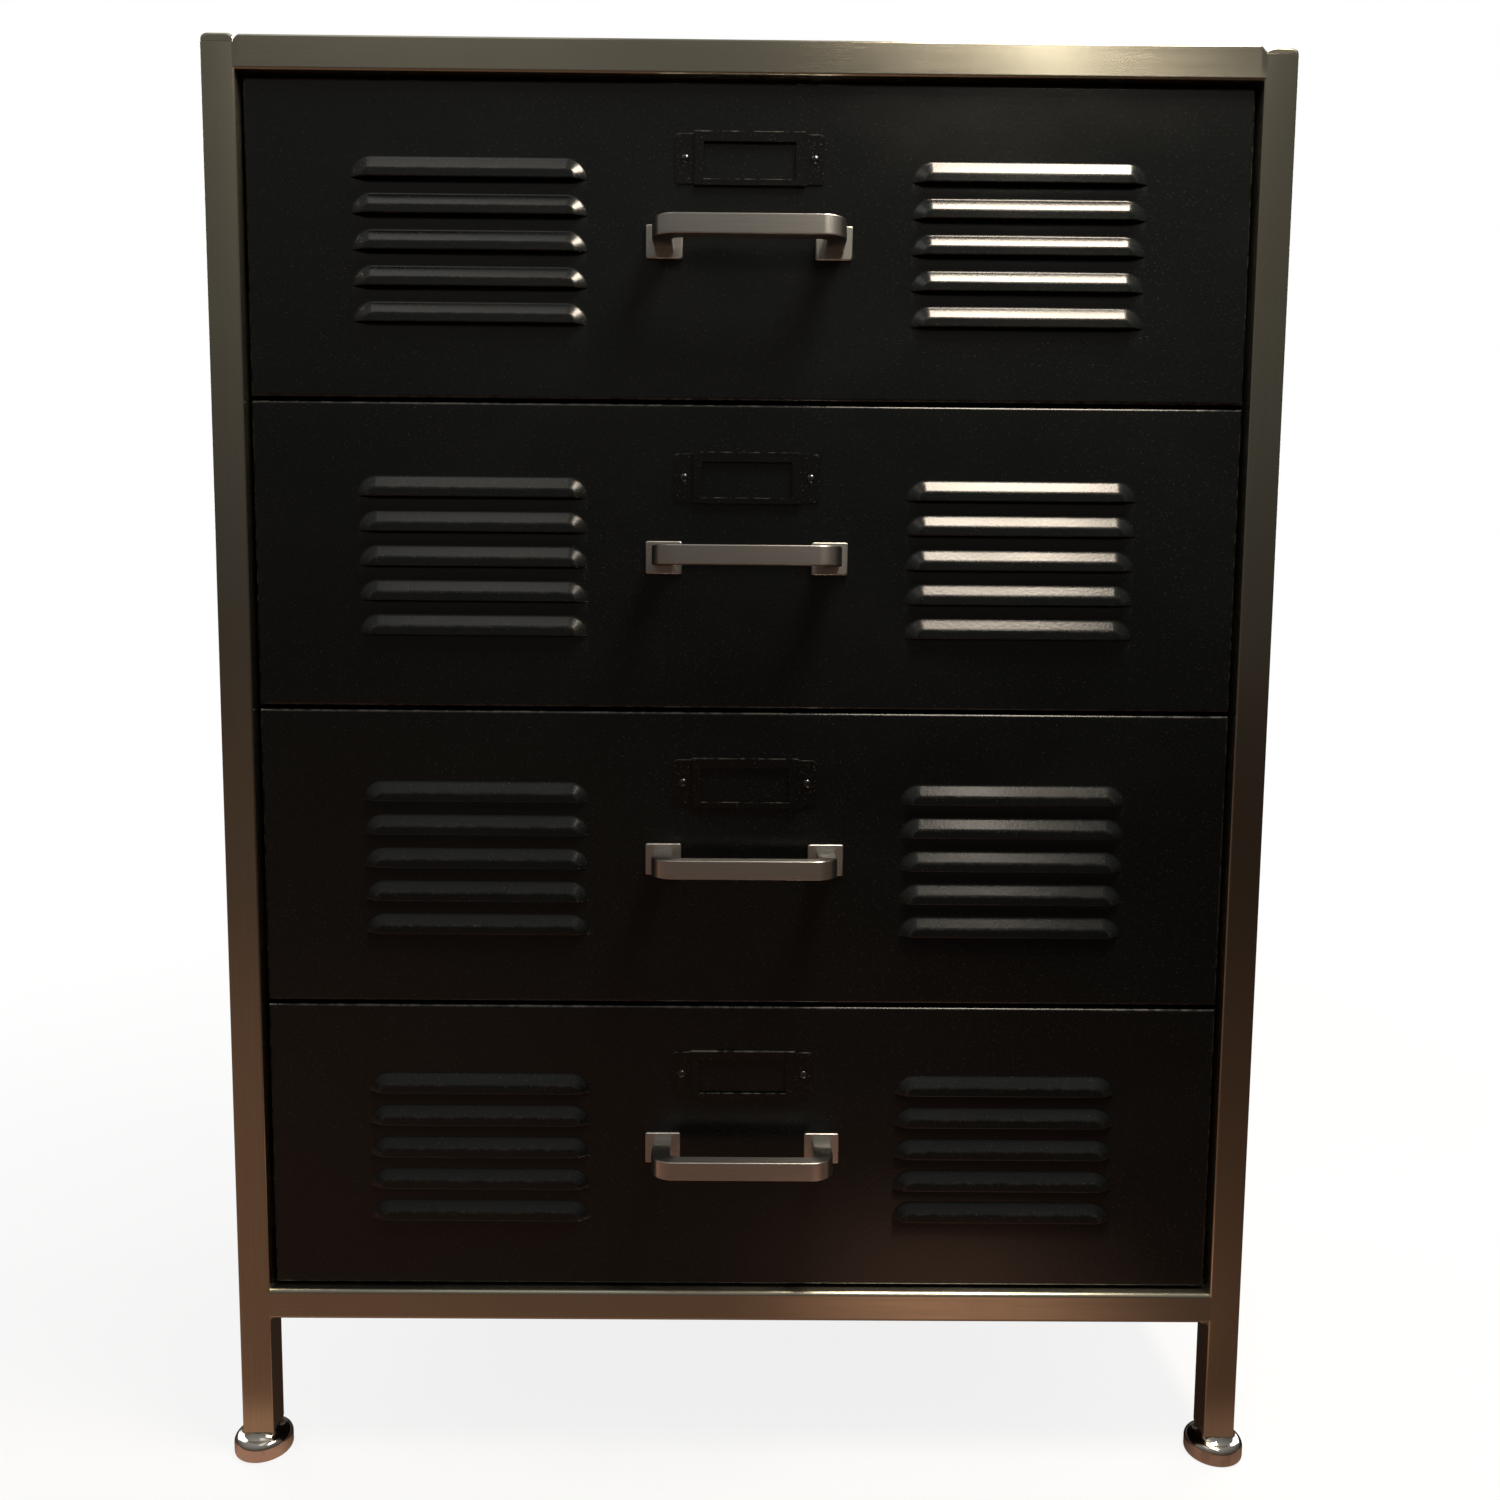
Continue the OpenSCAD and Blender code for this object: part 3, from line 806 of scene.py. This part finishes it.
def slides(i):
    """The three members of a drawer's slides."""
    low, high = box(f"slide_outer_{i}")
    half_h = (high.z - low.z) / 2
    nest = SLIDE_WALL + SLIDE_FIT
    slide_members(f"slide_outer_{i}", 0.0, SLIDE_T - OUTER_LIP_GAP, half_h)
    slide_members(f"slide_middle_{i}", nest, SLIDE_T - MIDDLE_LIP_GAP, half_h - nest)
    slide_members(f"slide_inner_{i}", SLIDE_T, 2 * nest, half_h - 2 * nest)


# ---------------------------------------------------------------- drawers


def ramp(r, knee, width):
    """Grows one for one beyond the knee, with a rounded start as wide as width."""
    t = (r - knee) / width + 0.5
    if t <= 0:
        return 0.0
    if t >= 1:
        return r - knee
    return width * (t**3 - t**4 / 2)


def hood(r, out):
    """How far a louvre stands out at a distance r from its slit."""
    slope = (out - LOUVRE_LEAN * LOUVRE_BEND) / (LOUVRE_FLARE - LOUVRE_BEND)
    bent = (slope - LOUVRE_LEAN) * ramp(r, LOUVRE_BEND, LOUVRE_BEND_WIDTH)
    flared = slope * ramp(r, LOUVRE_FLARE, LOUVRE_FLARE_WIDTH)
    return max(0.0, out - LOUVRE_LEAN * r - bent + flared)


def grid_lines(breaks):
    """Lines between (position, step) breaks. The last break only ends the lines."""
    lines = []
    for (low, step), (high, _) in zip(breaks, breaks[1:]):
        lines += spread(low, high, step)
    return lines + [breaks[-1][0]]


def louvre_distance(x, z, above):
    """How far a point of a front is from its louvre's slit, or None if it is on no louvre.

    The points along a slit are there twice. Above says which edge of the slit they are on.
    """
    for slit in LOUVRE_SLITS:
        if slit - SAME <= z < slit + LOUVRE_H and (above or z > slit + SAME):
            along = max(0.0, min(abs(x - LOUVRE_X), abs(x + LOUVRE_X)) - LOUVRE_STRAIGHT)
            r = math.hypot(along, z - slit)
            if r < LOUVRE_FLARE + LOUVRE_FLARE_WIDTH / 2:
                return r
    return None


def buckle(i, x, z, half_w, half_h):
    """The sheet's slight unevenness, nothing at its edges."""
    edge = min(half_w - abs(x), half_h - abs(z), BUCKLE_EDGE) / BUCKLE_EDGE
    broad = math.sin(x / 83.0 + 1.7 * i) * math.sin(z / 57.0 + 2.3 * i)
    return BUCKLE * edge * (broad + 0.5 * math.sin(x / 41.0 + z / 37.0 + i))


def front_grid(half_w, half_h):
    """The lines across a front, and its rows as (height, above), with two rows at each slit."""
    across = [(-half_w, COARSE_STEP)]
    for centre in (-LOUVRE_X, LOUVRE_X):
        across += [
            (centre - LOUVRE_W / 2, FINE_STEP), (centre - LOUVRE_STRAIGHT, COARSE_STEP),
            (centre + LOUVRE_STRAIGHT, FINE_STEP), (centre + LOUVRE_W / 2, COARSE_STEP),
        ]
    upward = [(-half_h, COARSE_STEP)]
    for slit in LOUVRE_SLITS:
        upward += [(slit, FINE_STEP), (slit + LOUVRE_H, COARSE_STEP / 2)]
    rows = []
    for z in grid_lines(upward + [(half_h, 0)]):
        if any(abs(z - slit) < SAME for slit in LOUVRE_SLITS):
            rows.append((z, False))
        rows.append((z, True))
    return grid_lines(across + [(half_w, 0)]), rows


def front_fold():
    """The section of a front's folded edge, from the face to the lip at the back.

    Each step is (outwards, backwards, wear_and_highlight), measured from the edge of the flat face.
    The middle of the bend gets scuffed paint and a painted highlight.
    """
    path = []
    for k in range(1, 6):
        t = math.radians(18 * k)
        # Scuffed paint and a painted highlight along the middle of the bend.
        wear_and_highlight = FRONT_EDGE_WEAR_AND_HIGHLIGHT if 2 <= k <= 3 else FRONT_SIDE_WEAR
        path.append((FRONT_FOLD_R * math.sin(t), FRONT_FOLD_R * (1 - math.cos(t)), wear_and_highlight))
    for k in range(5):
        t = math.radians(22.5 * k)
        out = FRONT_FOLD_R - FRONT_BACK_R * (1 - math.cos(t))
        back = FRONT_DEPTH - FRONT_BACK_R * (1 - math.sin(t))
        path.append((out, back, FRONT_BACK_WEAR))
    return path + [(FRONT_FOLD_R - FRONT_LIP, FRONT_DEPTH, 0.0)]


def drawer_front(i):
    """The folded front with its louvres pressed out of the sheet."""
    node = f"drawer_front_{i}"
    low, high = box(node)
    out = FACE_Y - low.y
    mid_x, mid_z = (low.x + high.x) / 2, (low.z + high.z) / 2
    half_w = (high.x - low.x) / 2 - FRONT_FOLD_R
    half_h = (high.z - low.z) / 2 - FRONT_FOLD_R
    xs, rows = front_grid(half_w, half_h)
    skin = Skin()
    for z, above in rows:
        for x in xs:
            h = 0.0
            r = louvre_distance(x, z, above)
            if r is not None:
                h = hood(r, out)
                at_bend = max(0.0, 1 - abs(r - LOUVRE_BEND) / 1.6)
                at_slit = LOUVRE_SLIT_WEAR if r < 0.5 else 0.0
                skin.wear_and_highlight[len(skin.points)] = LOUVRE_BEND_WEAR * at_bend + at_slit
            uneven = buckle(i, x, z, half_w, half_h)
            skin.points.append(Vector((mid_x + x, FACE_Y - h + uneven, mid_z + z)))
    wide = len(xs)
    for k, (row, after) in enumerate(zip(rows, rows[1:])):
        if row[0] == after[0]:
            continue
        for n in range(wide - 1):
            at = k * wide + n
            skin.face((at, at + 1, at + wide + 1, at + wide))

    # The face's edge, anticlockwise: each point with its way outwards along X and Z
    top = (len(rows) - 1) * wide
    loop = [(n, 0, -1) for n in range(wide - 1)]
    loop += [(k * wide + wide - 1, 1, 0) for k in range(len(rows) - 1) if rows[k][1]]
    loop += [(top + n, 0, 1) for n in range(wide - 1, 0, -1)]
    loop += [(k * wide, -1, 0) for k in range(len(rows) - 1, 0, -1) if rows[k][1]]
    corners = {0: (-1, -1), wide - 1: (1, -1), top + wide - 1: (1, 1), top: (-1, 1)}
    loop = [(at, *corners.get(at, (sx, sz))) for at, sx, sz in loop]
    before = [at for at, _, _ in loop]
    for grow, back, wear_and_highlight in front_fold():
        ring = []
        for at, sx, sz in loop:
            p = skin.points[at]
            skin.wear_and_highlight[len(skin.points)] = wear_and_highlight
            ring.append(len(skin.points))
            skin.points.append(Vector((p.x + sx * grow, FACE_Y + back, p.z + sz * grow)))
        skin.band(before, ring)
        before = ring
    finished(node, skin, sheet=FRONT_SHEET)


def tray(i):
    """The drawer's box, with its top edge hemmed."""
    node = f"drawer_tray_{i}"
    low, high = box(node)
    centre = (low + high) / 2
    pan(
        node, lambda a, b, h: Vector((centre.x + a, centre.y + b, low.z + h)),
        (high.x - low.x) / 2, (high.y - low.y) / 2, high.z - low.z, SHEET, TRAY_FOLD_R,
        hem=TRAY_HEM,
    )


def handle(i):
    """A bow handle: two legs, round bends and a flat bar, on two back plates."""
    node = f"handle_{i}"
    low, high = box(node)
    mid_x, mid_z = (low.x + high.x) / 2, (low.z + high.z) / 2
    out = FACE_Y - low.y
    outer = (PULL_CENTRES + BAR_H) / 2
    inner_r = BEND_R - BAR_T
    bend_y = out - BEND_R
    arc = [math.radians(90 * k / 12) for k in range(13)]
    stations = [((outer, d), (outer - BAR_H, d)) for d in (PLATE_T - 0.5, PLATE_T + 6, bend_y - 4)]
    for t in arc:
        stations.append((
            (outer - BEND_R + BEND_R * math.cos(t), bend_y + BEND_R * math.sin(t)),
            (outer - BAR_H - inner_r + inner_r * math.cos(t), bend_y + inner_r * math.sin(t)),
        ))
    for x in (44.0, 22.0):
        stations.append(((x, out), (x, out - BAR_T)))
    mirrored = [((-ox, oy), (-ix, iy)) for (ox, oy), (ix, iy) in reversed(stations)]
    rings = []
    for (ox, oy), (ix, iy) in stations + [((0, out), (0, out - BAR_T))] + mirrored:
        outside = Vector((mid_x + ox, FACE_Y - oy, mid_z))
        inside = Vector((mid_x + ix, FACE_Y - iy, mid_z))
        centre = (outside + inside) / 2
        half = (outside - inside).length / 2
        way = (outside - inside).normalized()
        ring = [centre + way * a + Vector((0, 0, b)) for a, b in rounded(half, BAR_H / 2, HANDLE_EDGE, 3)]
        rings.append(ring)
    skin = Skin()
    skin.loft(rings)
    for side in SIDES:
        x = mid_x + side * PULL_CENTRES / 2
        plate = []
        for below, inset in ((PLATE_T, 0.0),) + PLATE_EDGE:
            outline = rounded(PLATE_W / 2 - inset, PLATE_H / 2 - inset, PLATE_CORNER_R, 3)
            y = FACE_Y - (PLATE_T - below)
            plate.append([Vector((x + a, y, mid_z + b)) for a, b in outline])
        skin.loft(plate)
    finished(node, skin, crease=40)


def label_holder(i):
    """A pressed frame with a window, standing out between two flat ears."""
    node = f"label_holder_{i}"
    low, high = box(node)
    mid_x, mid_z = (low.x + high.x) / 2, (low.z + high.z) / 2
    half_w, half_h = (high.x - low.x) / 2, (high.z - low.z) / 2
    frame_x = LABEL_FRAME_W / 2
    window_x = WINDOW_W / 2
    window_low = -half_h + LABEL_LIP
    window_high = window_low + WINDOW_H
    ear_xs = [frame_x + 1.2, half_w - LABEL_EAR_R, half_w - 1.7, half_w - 0.8, half_w - 0.2, half_w]
    half_xs = [window_x, window_x + 0.5, frame_x - 2.2, frame_x, frame_x + 0.35] + ear_xs
    xs = [-x for x in reversed(half_xs)] + half_xs
    sill = (window_low - 0.6, window_low, window_low + 0.5)
    zs = [-half_h, -half_h + 1.2, *sill, window_high, half_h - 0.9, half_h]

    def outline(x):
        """Half the holder's height at x."""
        if abs(x) <= frame_x + 0.4:
            return half_h
        corner = max(0.0, abs(x) - (half_w - LABEL_EAR_R))
        return half_h - LABEL_EAR_DROP - (LABEL_EAR_R - math.sqrt(LABEL_EAR_R**2 - corner**2))

    skin = Skin()
    for z in zs:
        for x in xs:
            rise = LABEL_RISE if abs(x) <= frame_x else LABEL_EAR
            on_sill = z == window_low and abs(x) <= window_x
            # A painted highlight runs along the top edge and the window's sill, laid on as light patches of
            # paint.
            skin.wear_and_highlight[len(skin.points)] = LABEL_EDGE_HIGHLIGHT if on_sill or z == half_h else 0.0
            skin.points.append(Vector((mid_x + x, FACE_Y - rise, mid_z + z * outline(x) / half_h)))
    wide = len(xs)
    for k in range(len(zs) - 1):
        for n in range(wide - 1):
            if window_low <= zs[k] < window_high and xs[n] == -window_x:
                continue
            at = k * wide + n
            skin.face((at, at + 1, at + wide + 1, at + wide))
    top = (len(zs) - 1) * wide
    loop = list(range(wide - 1)) + [k * wide + wide - 1 for k in range(len(zs) - 1)]
    loop += [top + n for n in range(wide - 1, 0, -1)] + [k * wide for k in range(len(zs) - 1, 0, -1)]
    skirt = []
    for at in loop:
        p = skin.points[at]
        skirt.append(len(skin.points))
        skin.points.append(Vector((p.x, FACE_Y - 0.02, p.z)))
    skin.band(loop, skirt)
    finished(node, skin, sheet=SHEET, bevel=LABEL_BEVEL)


def rivets(i):
    """The two domed heads that hold the label holder."""
    node = f"label_rivets_{i}"
    low, high = box(node)
    skin = Skin()
    for side in SIDES:
        x = (high.x if side > 0 else low.x) - side * RIVET_HEAD_R
        z = (low.z + high.z) / 2
        top = FACE_Y - low.y
        rise = top - LABEL_EAR
        rings = []
        for k in range(9):
            t = math.radians(86 * k / 8)
            r = RIVET_HEAD_R * math.cos(t)
            d = LABEL_EAR - 0.1 + (rise + 0.1) * math.sin(t)
            rings.append([Vector((x + a, FACE_Y - d, z + b)) for a, b in circle(r, 32)])
        skin.loft(rings)
    finished(node, skin, crease=60, finish="rivet_paint")


# ---------------------------------------------------------------- assembly

for node in ("post_front_left", "post_front_right", "post_back_left", "post_back_right"):
    post(node)
for side in ("front", "back", "left", "right"):
    rail(f"top_rail_{side}", TOP_RAIL_R, TOP_RAIL_DROP)
    rail(f"bottom_rail_{side}", BOTTOM_RAIL_R, 0.0)
caps()
feet()
panels()
panel_screws()
welds()
bars("slide_supports_left")
bars("slide_supports_right")
for i in DRAWERS:
    slides(i)
    drawer_front(i)
    tray(i)
    handle(i)
    label_holder(i)
    rivets(i)
for node in ["slide_screws"] + [f"handle_screws_{i}" for i in DRAWERS]:
    cad = frame["nodes"][node]
    cad.data.materials.clear()
    cad.data.materials.append(FINISHES[SLOT_OF[node]])


# ---------------------------------------------------------------- studio, metres and degrees

# The camera's focal length is in millimetres. It stands away from the posts' front, and below their tops.
CAMERA_LENS = 30.25
CAMERA_TURN = -0.365
CAMERA_TILT = 5.445
CAMERA_ROLL = 0.487
CAMERA_X = -0.0025
CAMERA_AWAY = 0.976
CAMERA_BELOW = 0.4285

# Painted light and shade that reflections see on the floor, from 2.4 m in front of the chest's middle to 0.1
# m: a bright strip in front of the feet, then painted shade under the chest
FLOOR_TONES = (
    (0.0, (0.095, 0.062, 0.047)),
    (0.826, (0.225, 0.118, 0.078)),
    (0.913, (0.25, 0.13, 0.083)),
    (0.93, (0.55, 0.30, 0.20)),
    (0.949, (0.55, 0.30, 0.20)),
    (0.965, (0.05, 0.03, 0.022)),
)
# What reflections see of the room, from straight down to straight up
ROOM_TONES = (
    (0.0, (0.030, 0.018, 0.012)),
    (0.47, (0.050, 0.036, 0.030)),
    (0.52, (0.055, 0.050, 0.045)),
    (0.70, (0.145, 0.135, 0.120)),
    (1.0, (0.30, 0.295, 0.285)),
)
# Name, place, what it points at, size, brightness and colour
LIGHTS = (
    ("key", (0.44, -0.39, 1.90), (0.44, -0.39, 0.0), (0.42, 0.88), 32.0, (1.0, 0.86, 0.70)),
    ("fill", (-0.45, -0.62, 1.90), (-0.45, -0.62, 0.0), (0.46, 0.92), 0.65, (1.0, 0.95, 0.86)),
    ("front", (0.50, -1.25, 1.93), (0.2, -0.2, 0.9), (0.10, 0.40), 11.5, (1.0, 0.90, 0.76)),
    ("rim_left", (-2.2, 1.2, 1.6), (0, 0, 0.6), (1.2, 1.6), 3.5, (1.0, 1.0, 1.0)),
    ("rim_right", (2.2, 1.4, 1.6), (0, 0, 0.6), (1.2, 1.6), 3.5, (1.0, 1.0, 1.0)),
)


def floor():
    """A floor that the camera sees as white with a faint shadow, and reflections as darker and warm.

    In reflections it glows with painted light that fades to the right and into the distance: a painted
    bright strip in front of the feet, a painted pool of light on the right, and painted shade under the
    chest.
    """
    bm = bmesh.new()
    bmesh.ops.create_circle(bm, cap_ends=True, segments=96, radius=14.0)
    mesh = bpy.data.meshes.new("studio_floor")
    bm.to_mesh(mesh)
    bm.free()
    disc = bpy.data.objects.new("studio_floor", mesh)
    bpy.context.scene.collection.objects.link(disc)
    material = bpy.data.materials.new("studio_floor")
    material.use_nodes = True
    f = Nodes(material.node_tree)
    place = f.add("ShaderNodeTexCoord").outputs["Object"]
    split = f.add("ShaderNodeSeparateXYZ")
    f.join(place, split.inputs[0])

    pale = f.add("ShaderNodeBsdfDiffuse")
    pale.inputs["Color"].default_value = (0.85, 0.84, 0.83, 1)
    glow = f.add("ShaderNodeEmission")
    glow.inputs["Strength"].default_value = 1.02
    white_out = f.ranged(f.distance(place, (0, 0, 0)), 0.84, 1.0, 0.5, 2.5)
    seen = f.mixed_shaders(white_out, pale.outputs[0], glow.outputs[0])

    # To reflections the floor glows with painted light and shade; it is no lamp.
    warm = f.add("ShaderNodeEmission")
    tone = f.ramped(f.ranged(split.outputs["Y"], 0.0, 1.0, -2.4, -0.1), FLOOR_TONES)
    fade = f.ranged(split.outputs["X"], 1.0, 0.3, -0.8, 0.8)
    # A painted pool of light on the right.
    off_painted_light_pool = f.distance(place, (0.22, -0.50, 0.0))
    painted_light_pool = f.ranged(off_painted_light_pool, 2.6, 0.0, 0.0, 0.26, interpolation_type="SMOOTHSTEP")
    f.join(tone, warm.inputs["Color"])
    f.join(f.maths("ADD", fade, painted_light_pool), warm.inputs["Strength"])
    f.seen_or_lit(seen, warm.outputs[0], f.add("ShaderNodeOutputMaterial").inputs[0])
    mesh.materials.append(material)


def sky():
    """White behind the chest, and a dim, warm-below room for everything that reflects it."""
    world = bpy.data.worlds.new("studio")
    bpy.context.scene.world = world
    world.use_nodes = True
    w = Nodes(world.node_tree)
    split = w.add("ShaderNodeSeparateXYZ")
    w.join(w.add("ShaderNodeTexCoord").outputs["Generated"], split.inputs[0])
    white = w.add("ShaderNodeBackground")
    white.inputs["Color"].default_value = (1, 1, 1, 1)
    room = w.add("ShaderNodeBackground")
    tone = w.ramped(w.ranged(split.outputs["Z"], 0.0, 1.0, -1.0, 1.0), ROOM_TONES)
    w.join(tone, room.inputs["Color"])
    w.join(w.ranged(split.outputs["X"], 1.35, 0.9, -1.0, 1.0), room.inputs["Strength"])
    w.seen_or_lit(white.outputs[0], room.outputs[0], w.add("ShaderNodeOutputWorld").inputs[0])


def softbox(name, place, aim, size, radiance, colour):
    """A rectangular light of that brightness, which the camera doesn't see."""
    data = bpy.data.lights.new(name, "AREA")
    data.shape = "RECTANGLE"
    data.size, data.size_y = size
    data.energy = radiance * math.pi * size[0] * size[1]
    data.color = colour
    lamp = bpy.data.objects.new(name, data)
    lamp.location = place
    lamp.rotation_mode = "QUATERNION"
    lamp.rotation_quaternion = (Vector(aim) - Vector(place)).to_track_quat("-Z", "Y")
    lamp.visible_camera = False
    bpy.context.scene.collection.objects.link(lamp)


def camera():
    """A view from in front, a little above the chest's middle and tilted slightly down."""
    data = bpy.data.cameras.new("camera")
    data.lens = CAMERA_LENS
    data.sensor_width = 36.0
    view = bpy.data.objects.new("camera", data)
    turn = Matrix.Rotation(math.radians(CAMERA_TURN), 4, "Z")
    tilt = Matrix.Rotation(math.radians(90 - CAMERA_TILT), 4, "X")
    roll = Matrix.Rotation(math.radians(CAMERA_ROLL), 4, "Z")
    place = Vector((CAMERA_X, POST_LOW.y * MM - CAMERA_AWAY, POST_HIGH.z * MM - CAMERA_BELOW))
    view.matrix_world = Matrix.Translation(place) @ turn @ tilt @ roll
    bpy.context.scene.collection.objects.link(view)
    bpy.context.scene.camera = view


floor()
sky()
for light in LIGHTS:
    softbox(*light)
camera()
bpy.context.scene.view_settings.view_transform = "Standard"
